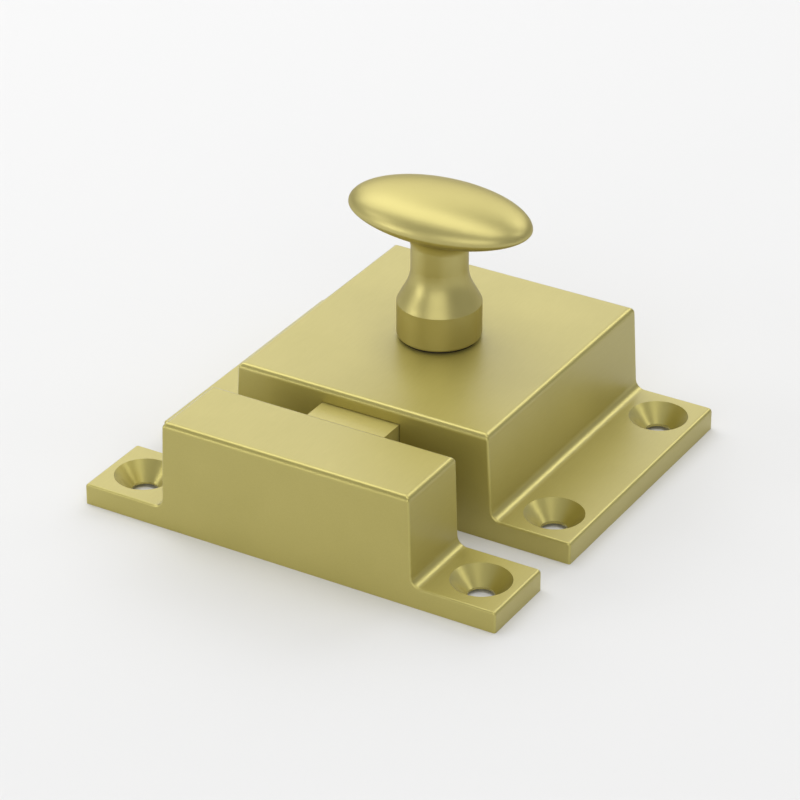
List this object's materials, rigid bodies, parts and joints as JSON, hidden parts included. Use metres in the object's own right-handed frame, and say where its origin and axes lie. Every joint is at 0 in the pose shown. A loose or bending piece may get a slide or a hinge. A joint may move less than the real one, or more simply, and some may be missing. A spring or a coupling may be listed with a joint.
{
  "type": "cabinet latch",
  "caption": "Surface-mounted brass cabinet latch: oval turn knob on a flanged box case, cam-drawn sprung bolt and a matching flanged strike.",
  "frame": {"origin": "on the mounting face, at the middle of the case's fixing holes, under the knob's axis", "axes": "+X along the wide flanges, +Y from the strike to the case, +Z out of the door"},
  "size_m": [0.058, 0.0556, 0.0344],
  "materials": {
    "case_brass": "satin, lacquered",
    "knob_brass": "satin, lacquered",
    "bolt_brass": "satin",
    "plate_brass": "rolled",
    "steel": "zinc plated",
    "dark_steel": "blackened",
    "spring_steel": "drawn wire"
  },
  "bodies": {
    "case": {"latch_case": "case_brass", "strike": "case_brass", "knob_washer": "dark_steel", "bolt_spring": "spring_steel", "back_plate": "plate_brass", "back_plate_screws": "steel"},
    "knob": {"knob": "knob_brass", "cam": "steel", "cam_washer": "steel", "cam_screw": "steel"},
    "bolt": {"latch_bolt": "bolt_brass"}
  },
  "joints": [
    {"name": "knob_turn", "type": "hinge", "parent": "case", "child": "knob", "pos_m": [0, 0, 0], "axis": [0, 0, -1], "range_deg": [0, 60]},
    {"name": "bolt_slide", "type": "slide", "parent": "case", "child": "bolt", "axis": [0, 1, 0], "range_m": [0, 0.00497], "stiffness_N_per_m": 1200, "springref_m": -0.002, "deforming": ["bolt_spring"]}
  ],
  "couplings": [
    {"joint": "knob_turn", "follows": "bolt_slide", "rad_per_m": 210.53}
  ]
}
